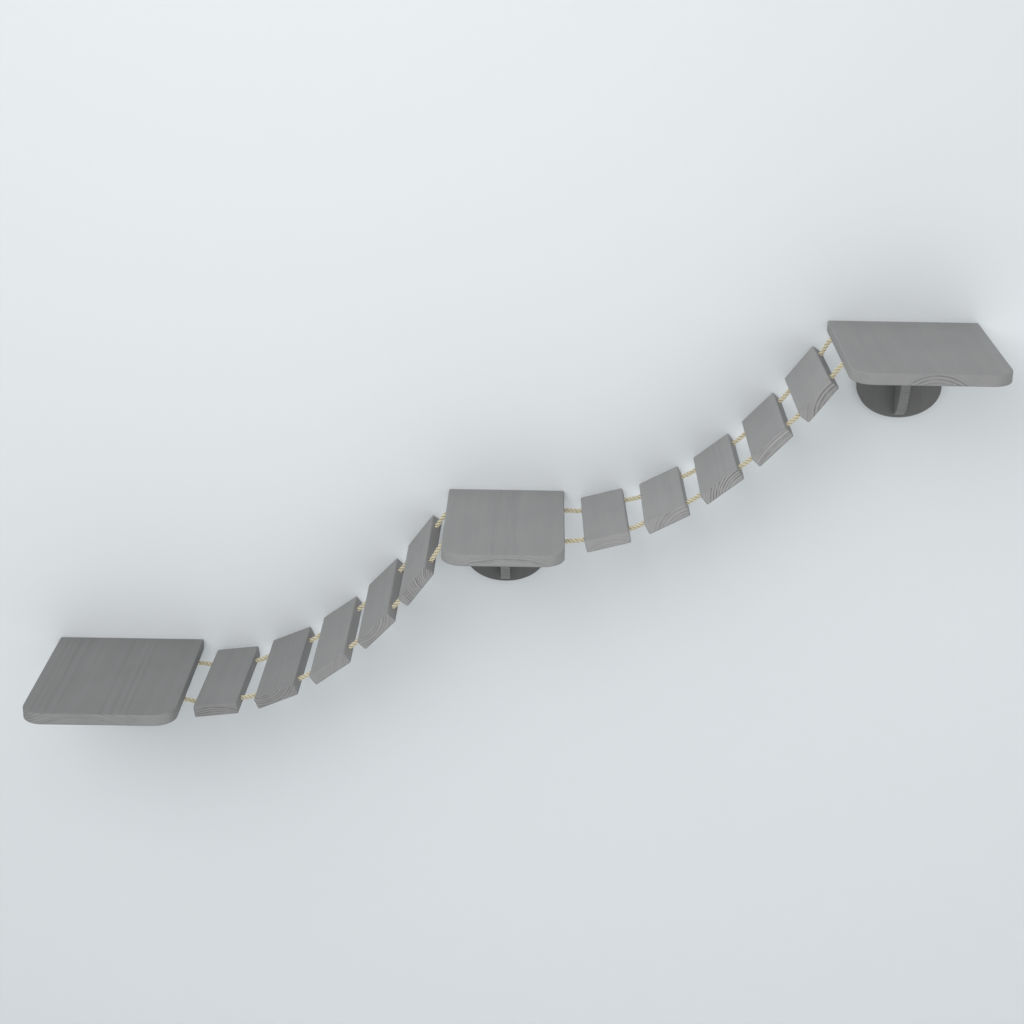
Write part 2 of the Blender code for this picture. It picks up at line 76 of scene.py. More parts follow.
def addCamera():
    data = bpy.data.cameras.new("camera")
    data.sensor_width = 36
    data.lens = cameraSetup["lens"]
    data.shift_x = cameraSetup["shiftX"]
    data.shift_y = cameraSetup["shiftY"]
    thing = bpy.data.objects.new("camera", data)
    scene.collection.objects.link(thing)
    turn = Matrix.Rotation(math.radians(cameraSetup["yaw"]), 4, "Z")
    turn = turn @ Matrix.Rotation(math.radians(cameraSetup["pitch"]), 4, "X")
    turn = turn @ Matrix.Rotation(math.radians(cameraSetup["roll"]), 4, "Y")
    level = Matrix.Rotation(math.radians(90), 4, "X")  # a level camera looks along +Y
    thing.matrix_world = Matrix.Translation(cameraSetup["place"]) @ turn @ level
    scene.camera = thing


addCamera()
print("camera placed")


# Nodes of materials
def addNode(tree, kind, inputs=None, **settings):
    made = tree.nodes.new(kind)
    for name, value in settings.items():
        setattr(made, name, value)
    for name, value in (inputs or {}).items():
        if isinstance(value, bpy.types.NodeSocket):
            tree.links.new(value, made.inputs[name])
        else:
            made.inputs[name].default_value = value
    return made


def maths(tree, operation, *values):
    made = addNode(tree, "ShaderNodeMath", dict(enumerate(values)), operation=operation)
    return made.outputs[0]


def vectorMaths(tree, operation, *values):
    made = addNode(tree, "ShaderNodeVectorMath", dict(enumerate(values)), operation=operation)
    return made.outputs[1 if operation == "LENGTH" else 0]


def noise(tree, place, stretch, detail=2.0):
    # A noise that runs from 0 to 1, with its own number of cycles in a metre along each axis
    spread = vectorMaths(tree, "MULTIPLY", place, stretch)
    made = addNode(tree, "ShaderNodeTexNoise", {"Vector": spread, "Scale": 1.0, "Detail": detail})
    return made.outputs["Fac"]


def ramp(tree, value, low, high, toLow=0.0, toHigh=1.0):
    made = addNode(
        tree, "ShaderNodeMapRange",
        {"Value": value, "From Min": low, "From Max": high, "To Min": toLow, "To Max": toHigh},
        interpolation_type="SMOOTHSTEP",
    )
    return made.outputs["Result"]


def mixColour(tree, factor, first, second, blend="MIX"):
    made = addNode(tree, "ShaderNodeMix", data_type="RGBA", blend_type=blend)
    for number, value in ((0, factor), (6, first), (7, second)):
        if isinstance(value, bpy.types.NodeSocket):
            tree.links.new(value, made.inputs[number])
        else:
            made.inputs[number].default_value = value
    return made.outputs[2]


def newMaterial(name):
    material = bpy.data.materials.new(name)
    material.use_nodes = True
    tree = material.node_tree
    tree.nodes.clear()
    shader = tree.nodes.new("ShaderNodeBsdfPrincipled")
    output = tree.nodes.new("ShaderNodeOutputMaterial")
    tree.links.new(shader.outputs["BSDF"], output.inputs["Surface"])
    return material, tree, shader


# Stained pine
pineLook = {
    "board": {"pale": (0.300, 0.301, 0.300, 1), "dark": (0.085, 0.084, 0.083, 1), "side": 0.10},
    "plank": {"pale": (0.305, 0.304, 0.304, 1), "dark": (0.085, 0.083, 0.084, 1), "side": 0.08},
    "bracket": {"pale": (0.150, 0.150, 0.149, 1), "dark": (0.090, 0.090, 0.090, 1), "side": 0.10},
    "endStrength": 0.85,
    "roughness": 0.58,
    "specular": 0.35,
    "bump": 0.25,
    "bumpDistance": 0.0004,
}
# Noises are in cycles to a metre along each axis
grainLook = {
    "wanderNoise": (38, 4, 38), "unevenNoise": (150, 0, 0), "fadeNoise": (45, 9, 70),
    "fibreNoise": (900, 22, 900), "streakNoise": (75, 2.5, 75), "stainNoise": (14, 9, 14),
    "lateStart": (0.42, 0.78), "lateStop": (0.84, 0.97),  # shares of a year
    "earlyStop": 0.40, "boldEdge": (0.6, 1.0), "endEdge": (0.35, 0.8), "fadeEdge": (0.30, 0.62),
    "fadeLeast": 0.35, "fibreTone": 0.10, "streakTone": 0.12, "stainTone": 0.16, "earlyTone": 0.16,
    "fibreRoughness": 0.16, "endRoughness": 0.08, "ringHeight": 0.6,
}
plainGrain = {"pith": (20, 60), "spacing": 4.2, "wander": 2.6, "window": (60, 90), "faint": 0.5}


def makeGrainGroup():
    tree = bpy.data.node_groups.new("pineGrain", "ShaderNodeTree")
    vector, number, colour = "NodeSocketVector", "NodeSocketFloat", "NodeSocketColor"
    for name, kind in (
        ("Place", vector), ("Facing", vector), ("Pith", vector), ("Ring Spacing", number),
        ("Ring Wander", number), ("Bold Radius", number), ("Bold Reach", number), ("Faint", number),
        ("Pale", colour), ("Dark", colour), ("End Strength", number), ("Side Strength", number),
        ("End Tone", number), ("Uneven Years", number), ("Roughness", number),
    ):
        tree.interface.new_socket(name, in_out="INPUT", socket_type=kind)
    for name, kind in (("Colour", colour), ("Roughness", number), ("Height", number)):
        tree.interface.new_socket(name, in_out="OUTPUT", socket_type=kind)
    look = grainLook
    given = addNode(tree, "NodeGroupInput").outputs
    place = given["Place"]
    # Year rings round the pith, which wander a little along the fibres
    wander = addNode(tree, "ShaderNodeTexNoise", {
        "Vector": vectorMaths(tree, "MULTIPLY", place, look["wanderNoise"]), "Scale": 1.0, "Detail": 2.5,
    }).outputs["Color"]
    wander = vectorMaths(tree, "SUBTRACT", wander, (0.5, 0.5, 0.5))
    wander = addNode(
        tree, "ShaderNodeVectorMath", {0: wander, "Scale": given["Ring Wander"]}, operation="SCALE",
    ).outputs[0]
    fromPith = vectorMaths(tree, "SUBTRACT", place, given["Pith"])
    fromPith = vectorMaths(tree, "ADD", fromPith, wander)
    radius = vectorMaths(tree, "LENGTH", vectorMaths(tree, "MULTIPLY", fromPith, (1, 0, 1)))
    outward = addNode(tree, "ShaderNodeCombineXYZ", {"X": radius}).outputs[0]
    uneven = noise(tree, outward, look["unevenNoise"])
    years = maths(tree, "DIVIDE", radius, given["Ring Spacing"])
    years = maths(tree, "MULTIPLY_ADD", uneven, given["Uneven Years"], years)
    year = maths(tree, "FRACT", years)
    lateStart = ramp(tree, year, *look["lateStart"])
    late = maths(tree, "MULTIPLY", lateStart, ramp(tree, year, *look["lateStop"], 1.0, 0.0))
    # Some years stand out: those near the bold radius
    away = maths(tree, "ABSOLUTE", maths(tree, "SUBTRACT", radius, given["Bold Radius"]))
    away = maths(tree, "DIVIDE", away, given["Bold Reach"])
    bold = addNode(tree, "ShaderNodeMix", {
        0: ramp(tree, away, *look["boldEdge"]), 2: 1.0, 3: given["Faint"],
    }, data_type="FLOAT").outputs[0]
    # End grain shows them far more than the sawn faces do
    facing = addNode(tree, "ShaderNodeSeparateXYZ", {"Vector": given["Facing"]}).outputs["Y"]
    end = ramp(tree, maths(tree, "ABSOLUTE", facing), *look["endEdge"])
    strength = addNode(tree, "ShaderNodeMix", {
        0: end, 2: given["Side Strength"], 3: given["End Strength"],
    }, data_type="FLOAT").outputs[0]
    fading = noise(tree, place, look["fadeNoise"])
    fading = ramp(tree, fading, *look["fadeEdge"], look["fadeLeast"], 1.0)
    strength = maths(tree, "MULTIPLY", strength, maths(tree, "MULTIPLY", fading, bold))
    ring = maths(tree, "MULTIPLY", late, strength)
    colour = mixColour(tree, ring, given["Pale"], given["Dark"])
    # The pale early wood beside a bold line, then fibres, soft streaks and the stain's unevenness
    early = maths(tree, "MULTIPLY", ramp(tree, year, 0.0, look["earlyStop"], 1.0, 0.0), strength)
    fibres = noise(tree, place, look["fibreNoise"], 3.0)
    streaks = noise(tree, place, look["streakNoise"], 2.0)
    stain = noise(tree, place, look["stainNoise"], 3.0)
    tone = maths(tree, "MULTIPLY_ADD", early, look["earlyTone"], 1.0)
    for value, spread in (
        (stain, look["stainTone"]), (streaks, look["streakTone"]), (fibres, look["fibreTone"]),
    ):
        shade = maths(tree, "MULTIPLY_ADD", value, spread, 1.0 - spread / 2)
        tone = maths(tree, "MULTIPLY", tone, shade)
    endTone = addNode(tree, "ShaderNodeMix", {0: end, 2: 1.0, 3: given["End Tone"]}, data_type="FLOAT")
    tone = maths(tree, "MULTIPLY", tone, endTone.outputs[0])
    tint = addNode(tree, "ShaderNodeCombineXYZ", {"X": tone, "Y": tone, "Z": tone}).outputs[0]
    colour = mixColour(tree, 1.0, colour, tint, "MULTIPLY")
    rough = maths(tree, "MULTIPLY_ADD", fibres, look["fibreRoughness"], given["Roughness"])
    rough = maths(tree, "MULTIPLY_ADD", end, look["endRoughness"], rough)
    height = maths(tree, "MULTIPLY_ADD", ring, look["ringHeight"], fibres)
    addNode(tree, "NodeGroupOutput", {"Colour": colour, "Roughness": rough, "Height": height})
    return tree


grainGroup = makeGrainGroup()


def pineMaterial(name, kind, place, grain, tone=1.0):
    # Pine whose rings lie round a pith at (x, z) mm on the piece's own axes
    # tone scales its colours: for boards and planks it holds painted shade and light besides their own tone, for
    # ribs painted light
    material, tree, shader = newMaterial(name)
    spot = addNode(tree, "ShaderNodeTexCoord")
    turn = place.to_euler()
    inPiece = addNode(tree, "ShaderNodeMapping", {
        "Vector": spot.outputs["Object"], "Location": place.to_translation(), "Rotation": turn,
    }, vector_type="TEXTURE")
    facing = addNode(tree, "ShaderNodeMapping", {
        "Vector": spot.outputs["Normal"], "Rotation": turn,
    }, vector_type="TEXTURE")
    look = pineLook[kind]
    pithX, pithZ = grain["pith"]
    boldRadius, boldReach = grain["window"]
    made = addNode(tree, "ShaderNodeGroup", node_tree=grainGroup)
    values = {
        "Place": inPiece.outputs[0], "Facing": facing.outputs[0],
        "Pith": (pithX / 1000, 0, pithZ / 1000),
        "Ring Spacing": grain["spacing"] / 1000,
        "Ring Wander": grain["wander"] / 1000,
        "Bold Radius": boldRadius / 1000,
        "Bold Reach": boldReach / 1000,
        "Faint": grain["faint"],
        "End Tone": grain.get("endTone", 1.0),
        "Uneven Years": grain.get("uneven", 2.0),
        "Pale": [value * tone for value in look["pale"][:3]] + [1],
        "Dark": [value * tone for value in look["dark"][:3]] + [1],
        "End Strength": pineLook["endStrength"] * grain.get("strength", 1.0),
        "Side Strength": look["side"],
        "Roughness": pineLook["roughness"],
    }
    for key, value in values.items():
        if isinstance(value, bpy.types.NodeSocket):
            tree.links.new(value, made.inputs[key])
        else:
            made.inputs[key].default_value = value
    tree.links.new(made.outputs["Colour"], shader.inputs["Base Color"])
    tree.links.new(made.outputs["Roughness"], shader.inputs["Roughness"])
    shader.inputs["Specular IOR Level"].default_value = pineLook["specular"]
    bump = addNode(tree, "ShaderNodeBump", {
        "Height": made.outputs["Height"], "Strength": pineLook["bump"],
        "Distance": pineLook["bumpDistance"],
    })
    tree.links.new(bump.outputs[0], shader.inputs["Normal"])
    return material


# Shapes
sharpAngle = math.radians(40)
flatAngle = math.radians(0.2)
mergeDistance = 0.00001
ringReach = 0.00005  # how near its end face a rope's last ring of points lies


def meshFrom(shape, name):
    mesh = bpy.data.meshes.new(name)
    shape.to_mesh(mesh)
    shape.free()
    return mesh


def linked(name, data):
    thing = bpy.data.objects.new(name, data)
    scene.collection.objects.link(thing)
    return thing


def finished(thing):
    # The mesh that an object's modifiers or curve give; the object is removed
    bpy.context.view_layer.update()
    seen = thing.evaluated_get(bpy.context.evaluated_depsgraph_get())
    mesh = bpy.data.meshes.new_from_object(seen)
    bpy.data.objects.remove(thing)
    return mesh


def easeEdges(shape, width, segments=3, overAngle=60):
    edges = [
        edge for edge in shape.edges
        if edge.is_convex and edge.calc_face_angle() > math.radians(overAngle)
    ]
    bmesh.ops.bevel(
        shape, geom=edges, offset=width, segments=segments, profile=0.5, affect="EDGES", material=-1,
    )


def block(size):
    shape = bmesh.new()
    bmesh.ops.create_cube(shape, size=1)
    bmesh.ops.scale(shape, vec=size, verts=shape.verts)
    return shape


def turned(profile, sides=24):
    # Turns a profile of (radius, height) points, from top to bottom, about Z
    shape = bmesh.new()
    points = [shape.verts.new((radius, 0, height)) for radius, height in profile]
    edges = [shape.edges.new(pair) for pair in zip(points, points[1:])]
    bmesh.ops.spin(
        shape, geom=points + edges, cent=(0, 0, 0), axis=(0, 0, 1), angle=2 * math.pi,
        steps=sides, use_merge=True,
    )
    bmesh.ops.remove_doubles(shape, verts=shape.verts, dist=mergeDistance)
    bmesh.ops.recalc_face_normals(shape, faces=shape.faces)
    return shape


def carved(mesh, cutters):
    # A mesh with each cutter, a (bmesh, matrix) pair, cut out of it
    blank = linked("blank", mesh)
    tools = []
    for shape, place in cutters:
        tool = linked("tool", meshFrom(shape, "tool"))
        tool.matrix_world = place
        tools.append(tool)
        cutting = blank.modifiers.new("cut", "BOOLEAN")
        cutting.operation = "DIFFERENCE"
        cutting.object = tool
    result = finished(blank)
    for tool in tools:
        bpy.data.objects.remove(tool)
    return result


def addPiece(name, mesh, material, slotName, body, *nodes):
    mesh.materials.clear()
    mesh.materials.append(material)
    mesh.shade_smooth()
    mesh.set_sharp_from_angle(angle=sharpAngle)
    thing = linked(name, mesh)
    flatter = thing.modifiers.new("even_normals", "WEIGHTED_NORMAL")
    flatter.keep_sharp = True
    if body:
        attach(thing, body)
    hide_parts(*nodes)
    return thing


bodyOf = {node: body for body, nodes in record["behaviour"]["bodies"].items() for node in nodes}


# Places that the frame gives
def plankPlace(side, number):
    # A plank's centre and axes: its joint's axis, and the way its largest face looks
    joint = joints[f"{side}_plank_{number}_rock"]
    along = Vector(joint["axis"]).normalized()
    faces = frame["nodes"][f"{side}_plank_{number}"].data.polygons
    up = max(faces, key=lambda face: face.area).normal.copy()
    if up.z < 0:
        up.negate()
    across = along.cross(up).normalized()
    up = across.cross(along)
    turn = Matrix((across, along, up)).transposed().to_4x4()
    return Matrix.Translation(joint["pos_m"]) @ turn


def sizeOn(node, place):
    # A node's size along a place's own axes
    back = place.inverted()
    points = [back @ vert.co for vert in frame["nodes"][node].data.vertices]
    return Vector([max(p[i] for p in points) - min(p[i] for p in points) for i in range(3)])


def ropeEnd(node, lower):
    # The centre of a rope's end, in the groove of the board that it is pinned in
    points = [vert.co for vert in frame["nodes"][node].data.vertices]
    pick = min if lower else max
    edge = pick(p.x for p in points)
    ring = {tuple(round(c, 6) for c in p) for p in points if abs(p.x - edge) < ringReach}
    return sum((Vector(p) for p in ring), Vector()) / len(ring)


planksPerBridge = 5
planks = {
    (side, number): plankPlace(side, number)
    for side in ("left", "right") for number in range(1, planksPerBridge + 1)
}
bridges = {"left": ("left", "middle"), "right": ("middle", "right")}
ropeSides = ("front", "rear")
print("places read:", len(planks), "planks")


# Bores and screws
boreLook = {"radius": 0.0043, "mouth": 0.0009, "sides": 28, "overrun": 0.004}
pinLook = {
    "shank": 0.003, "head": 0.007, "headHeight": 0.002, "length": 0.016, "tip": 0.003,
    "recess": 0.0003, "slack": 0.0003,
}
crossLook = {"rim": 0.125, "arm": 1.1, "slot": 0.26, "taper": 0.45, "sink": 0.05}  # shares
ribScrewLook = {
    "shank": 0.004, "head": 0.008, "headHeight": 0.0025, "length": 0.045, "tip": 0.005,
    "recess": 0.0003, "slack": 0.0003,
}


def boreShape(length, bothEnds):
    # A rope bore along +Z from a face at 0, its mouth eased
    radius, mouth, over = boreLook["radius"], boreLook["mouth"], boreLook["overrun"]
    profile = [(0, length), (radius, length)]
    if bothEnds:
        profile = [
            (0, length + over), (radius + mouth + over / 2, length + over),
            (radius + mouth, length), (radius, length - mouth),
        ]
    profile += [(radius, mouth), (radius + mouth, 0), (radius + mouth + over / 2, -over), (0, -over)]
    return turned(profile, boreLook["sides"])


def screwShape(look):
    # A countersunk screw with its head's top at 0, pointing down
    shank, head, high = look["shank"] / 2, look["head"] / 2, look["headHeight"]
    rim = high * crossLook["rim"]
    shape = turned([
        (0, 0), (head - 2 * rim, 0), (head, -rim), (head, -2 * rim), (shank, -high),
        (shank, look["tip"] - look["length"]), (0, -look["length"]),
    ])
    mesh = meshFrom(shape, "screw")
    arm, slot = head * crossLook["arm"], head * crossLook["slot"]
    cross = []
    for size in ((arm, slot, high), (slot, arm, high)):
        tool = block(size)
        lower = [vert for vert in tool.verts if vert.co.z < 0]
        bmesh.ops.scale(tool, vec=(crossLook["taper"], crossLook["taper"], 1), verts=lower)
        cross.append((tool, Matrix.Translation((0, 0, -high * crossLook["sink"]))))
    return carved(mesh, cross)


def holeShape(look):
    shank, head = look["shank"] / 2 + look["slack"], look["head"] / 2 + look["slack"]
    over = boreLook["overrun"]
    return turned([
        (0, over), (head, over), (head, 0), (shank, -look["headHeight"]),
        (shank, look["tip"] - look["length"]), (0, -look["length"] - look["slack"]),
    ])


headDown = Matrix.Rotation(math.pi, 4, "X")
headBack = Matrix.Rotation(math.radians(-90), 4, "X")


# Boards
boardLook = {"cornerRadius": 0.035, "cornerSegments": 14, "edge": 0.0025, "grooveLength": 0.055}
boardGrain = {
    # Painted light: the left board's end grain is made lighter than its top, which is painted darker
    "left": {"pith": (-30, -150), "spacing": 5, "wander": 3, "window": (150, 40), "faint": 0.1,
             "endTone": 1.22, "strength": 0.3},
    "middle": {"pith": (7, -190), "spacing": 3.8, "wander": 9, "window": (193, 10), "faint": 0.1,
               "strength": 0.5},
    "right": {"pith": (5, -64.1), "spacing": 5.6, "wander": 1.4, "window": (64, 12), "faint": 0.08,
              "uneven": 0.3, "endTone": 0.94, "strength": 0.72},
}
# Painted shade: the boards' colours are scaled down towards the lower left, the left board most, where less light
# falls
boardPaintedShade = {"left": 0.74, "middle": 0.98, "right": 0.99}


def boardPinSpot(node):
    # The middle of a board pin's driven face, with its shank upwards
    low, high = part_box(node)
    spot = ((low.x + high.x) / 2, (low.y + high.y) / 2, low.z)
    return Matrix.Translation(spot) @ headDown


def ropeYs():
    return {rope: ropeEnd(f"left_{rope}_rope", True).y for rope in ropeSides}


def makeBoard(side):
    low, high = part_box(f"{side}_board")
    centre, size = (low + high) / 2, high - low
    shape = block(size)
    corners = [
        edge for edge in shape.edges
        if all(vert.co.y < 0 for vert in edge.verts) and edge.verts[0].co.x == edge.verts[1].co.x
    ]
    bmesh.ops.bevel(
        shape, geom=corners, offset=boardLook["cornerRadius"], segments=boardLook["cornerSegments"],
        profile=0.5, affect="EDGES", material=-1,
    )
    easeEdges(shape, boardLook["edge"])
    bmesh.ops.translate(shape, vec=centre, verts=shape.verts)
    cutters = []
    for bridge, (lower, upper) in bridges.items():
        for rope in ropeSides:
            if side not in (lower, upper):
                continue
            isLower = side == lower
            end = ropeEnd(f"{bridge}_{rope}_rope", isLower)
            way = -1 if isLower else 1
            edgeX = high.x if isLower else low.x
            turn = Matrix.Rotation(math.radians(90 * way), 4, "Y")
            spot = Matrix.Translation((edgeX, end.y, end.z)) @ turn
            cutters.append((boreShape(boardLook["grooveLength"], False), spot))
            pin = f"{bridge}_{'lower' if isLower else 'upper'}_board_{rope}_pin"
            cutters.append((holeShape(pinLook), boardPinSpot(pin)))
    mesh = carved(meshFrom(shape, f"{side}_board_pine"), cutters)
    material = pineMaterial(
        f"{side}BoardPine", "board", Matrix.Translation(centre), boardGrain[side], boardPaintedShade[side],
    )
    addPiece(f"{side}_board_pine", mesh, material, "board_wood", "root", f"{side}_board")


for side in ("left", "middle", "right"):
    makeBoard(side)
print("boards made")


# Planks
plankLook = {"edge": 0.0025}
plankGrain = {
    "left": (
        {"pith": (-8, -104), "spacing": 3.8, "wander": 5, "window": (104, 12), "faint": 0.2,
         "strength": 0.75},
        {"pith": (-12, 52), "spacing": 4.4, "wander": 2, "window": (54, 16), "faint": 0.35},
        {"pith": (60, -40), "spacing": 3.2, "wander": 3, "window": (60, 22), "faint": 0.2,
         "strength": 0.4},
        {"pith": (-8, 48), "spacing": 5.4, "wander": 3, "window": (52, 12), "faint": 0.25,
         "strength": 0.65},
        {"pith": (42, -14), "spacing": 3.6, "wander": 3, "window": (48, 46), "faint": 0.6},
    ),
    "right": (
        {"pith": (0, -70), "spacing": 4.2, "wander": 2, "window": (68, 12), "faint": 0.2,
         "strength": 0.4},
        {"pith": (24, -46), "spacing": 6.0, "wander": 5, "window": (52, 14), "faint": 0.35,
         "strength": 0.6, "endTone": 0.95},
        {"pith": (30, -42), "spacing": 4.4, "wander": 1.5, "window": (52, 22), "faint": 0.5,
         "uneven": 0.8},
        {"pith": (10, -190), "spacing": 4.2, "wander": 1.5, "window": (190, 14), "faint": 0.4},
        {"pith": (18, -60), "spacing": 5.6, "wander": 3, "window": (56, 14), "faint": 0.3,
         "endTone": 0.93},
    ),
}
# Painted shade and light with real tone: planks run darker towards the lower left and lighter towards the upper
# right, where light falls off; the rest differs from plank to plank
plankToneAndShade = {"left": (0.83, 0.85, 0.95, 0.94, 0.98), "right": (1.03, 1.10, 1.05, 1.03, 1.05)}


def makePlank(side, number):
    place = planks[side, number]
    node = f"{side}_plank_{number}"
    size = sizeOn(node, place)
    shape = block(size)
    easeEdges(shape, plankLook["edge"])
    cutters = []
    for rope in ropeSides:
        across = ropeYs()[rope] - place.to_translation().y
        bore = Matrix.Translation((-size.x / 2, across, 0)) @ Matrix.Rotation(math.radians(90), 4, "Y")
        cutters.append((boreShape(size.x, True), bore))
        pin = Matrix.Translation((0, across, pinLook["recess"] - size.z / 2)) @ headDown
        cutters.append((holeShape(pinLook), pin))
    mesh = carved(meshFrom(shape, node + "_pine"), cutters)
    mesh.transform(place)
    material = pineMaterial(
        f"{side}Plank{number}Pine", "plank", place, plankGrain[side][number - 1],
        plankToneAndShade[side][number - 1],
    )
    addPiece(node + "_pine", mesh, material, "plank_wood", bodyOf[node], node)


for side, number in planks:
    makePlank(side, number)
print("planks made")


# Wall brackets
bracketLook = {
    "edge": 0.0015, "footHeight": 0.052, "belly": 0.065, "ribHeight": 0.134, "fillet": 0.025,
    "armHeight": 0.030, "tipHeight": 0.020, "tenonHeight": 0.010, "tenonLength": 0.035,
    "tenonInset": 0.025, "holeColumns": 0.090, "holeRows": 0.045, "holeRaise": 0.0175,
    "hole": 0.005, "holeHead": 0.010, "curveSteps": 16,
}
plateTone = {"left": 0.88, "middle": 0.86, "right": 1.0}
# Painted light: the rib is the bracket wood made lighter than its plate, for the light its front edge catches
ribPaintedLight = 1.45
quarter = 4 / 3 * math.tan(math.pi / 8)  # a quarter circle's handle, as a share of its radius


def outlineMesh(knots, thickness):
    # A closed flat outline with a thickness; each knot has a place and the ways to its handles
    curve = bpy.data.curves.new("outline", "CURVE")
    curve.dimensions = "2D"
    curve.fill_mode = "BOTH"
    curve.extrude = thickness / 2
    curve.resolution_u = bracketLook["curveSteps"]
    spline = curve.splines.new("BEZIER")
    spline.bezier_points.add(len(knots) - 1)
    spline.use_cyclic_u = True
    for point, (place, before, after) in zip(spline.bezier_points, knots):
        place = Vector((*place, 0))
        point.co = place
        point.handle_left = place + Vector((*before, 0))
        point.handle_right = place + Vector((*after, 0))
    mesh = finished(linked("outline", curve))
    shape = bmesh.new()
    shape.from_mesh(mesh)
    bmesh.ops.remove_doubles(shape, verts=shape.verts, dist=mergeDistance)
    bmesh.ops.dissolve_limit(
        shape, angle_limit=flatAngle, verts=shape.verts, edges=shape.edges,
    )
    easeEdges(shape, bracketLook["edge"])
    return shape


def plateKnots(size):
    half, top, foot = size.x / 2, size.z / 2, bracketLook["footHeight"]
    shoulder = foot - top
    none = (0, 0)
    return [
        ((half, top), none, none),
        ((half, shoulder), none, (0, -quarter * foot)),
        ((0, -top), (quarter * half, 0), (-quarter * half, 0)),
        ((-half, shoulder), (0, -quarter * foot), none),
        ((-half, top), none, none),
    ]


def tenonCentres(length):
    inset, tenon = bracketLook["tenonInset"], bracketLook["tenonLength"]
    return inset + tenon / 2, length - inset - tenon / 2


def ribKnots(length):
    # Depth from the rib's rear edge and height from its top edge
    belly, high = bracketLook["belly"], bracketLook["ribHeight"]
    arm, tip, fillet = bracketLook["armHeight"], bracketLook["tipHeight"], bracketLook["fillet"]
    start = math.asin((arm + fillet) / high)
    reach = belly * math.cos(start)
    pull = 4 / 3 * math.tan((math.pi / 2 - start) / 4)
    none = (0, 0)
    knots = [
        ((0, 0), none, none),
        ((0, -high), none, (pull * belly, 0)),
        (
            (reach, -arm - fillet),
            (-pull * belly * math.sin(start), -pull * high * math.cos(start)),
            (0, quarter * fillet),
        ),
        ((reach + fillet, -arm), (-quarter * fillet, 0), none),
        ((length - tip, -tip), none, (quarter * tip, 0)),
        ((length, 0), (0, -quarter * tip), none),
    ]
    half, tall = bracketLook["tenonLength"] / 2, bracketLook["tenonHeight"]
    for centre in reversed(tenonCentres(length)):
        for x, y in ((half, 0), (half, tall), (-half, tall), (-half, 0)):
            knots.append(((centre + x, y), none, none))
    return knots


def ribScrewSpot(node):
    low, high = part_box(node)
    middle = (low + high) / 2
    return Matrix.Translation((middle.x, -ribScrewLook["recess"], middle.z)) @ headBack


def makeBracket(side):
    screws = [f"{side}_rib_{row}_screw" for row in ("upper", "lower")]
    ribHoles = [(holeShape(ribScrewLook), ribScrewSpot(screw)) for screw in screws]
    low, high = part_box(f"{side}_wall_plate")
    centre, size = (low + high) / 2, high - low
    shape = outlineMesh(plateKnots(size), size.y)
    upright = Matrix.Translation(centre) @ Matrix.Rotation(math.radians(90), 4, "X")
    bmesh.ops.transform(shape, matrix=upright, verts=shape.verts)
    cutters = list(ribHoles)
    look, over = bracketLook, boreLook["overrun"]
    for column in (-0.5, 0.5):
        for row in (-0.5, 0.5):
            hole = turned([
                (0, over), (look["holeHead"] / 2, over), (look["holeHead"] / 2, 0),
                (look["hole"] / 2, (look["hole"] - look["holeHead"]) / 2),
                (look["hole"] / 2, -size.y - over), (0, -size.y - over),
            ])
            x = centre.x + column * look["holeColumns"]
            z = centre.z + look["holeRaise"] + row * look["holeRows"]
            spot = Matrix.Translation((x, low.y, z)) @ Matrix.Rotation(math.radians(90), 4, "X")
            cutters.append((hole, spot))
    mesh = carved(meshFrom(shape, "plate"), cutters)
    # The plate's fibres run upright and the rib's run out from the wall
    fibresUp = Matrix.Translation(centre) @ Matrix.Rotation(math.radians(90), 4, "X")
    material = pineMaterial(f"{side}PlatePine", "bracket", fibresUp, plainGrain, plateTone[side])
    addPiece(f"{side}_wall_plate_pine", mesh, material, "bracket_wood", "root", f"{side}_wall_plate")

    low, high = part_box(f"{side}_rib")
    top = high.z - bracketLook["tenonHeight"]
    length = high.y - low.y
    shape = outlineMesh(ribKnots(length), high.x - low.x)
    # The outline's depth runs to -Y and its height to +Z
    turn = Matrix(((0, 0, 1, 0), (-1, 0, 0, 0), (0, 1, 0, 0), (0, 0, 0, 1)))
    spot = Matrix.Translation(((low.x + high.x) / 2, high.y, top))
    bmesh.ops.transform(shape, matrix=spot @ turn, verts=shape.verts)
    bmesh.ops.recalc_face_normals(shape, faces=shape.faces)
    holes = [(holeShape(ribScrewLook), ribScrewSpot(screw)) for screw in screws]
    mesh = carved(meshFrom(shape, "rib"), holes)
    material = pineMaterial(f"{side}RibPine", "bracket", spot, plainGrain, ribPaintedLight)
    addPiece(f"{side}_rib_pine", mesh, material, "bracket_wood", "root", f"{side}_rib")


for side in ("left", "middle", "right"):
    makeBracket(side)
print("brackets made")


# Screws
steelLook = {
    "colour": (0.60, 0.60, 0.59, 1), "darkShare": 0.72, "smearNoise": (900, 900, 900),
    "roughness": 0.24, "roughnessSpread": 0.25,
}


def makeSteel():
    material, tree, shader = newMaterial("zincSteel")
    place = addNode(tree, "ShaderNodeTexCoord").outputs["Object"]
    smear = noise(tree, place, steelLook["smearNoise"], 3.0)
    darker = [value * steelLook["darkShare"] for value in steelLook["colour"][:3]] + [1]
    tree.links.new(mixColour(tree, smear, steelLook["colour"], darker), shader.inputs["Base Color"])
    rough = maths(tree, "MULTIPLY_ADD", smear, steelLook["roughnessSpread"], steelLook["roughness"])
    tree.links.new(rough, shader.inputs["Roughness"])
    shader.inputs["Metallic"].default_value = 1.0
    return material


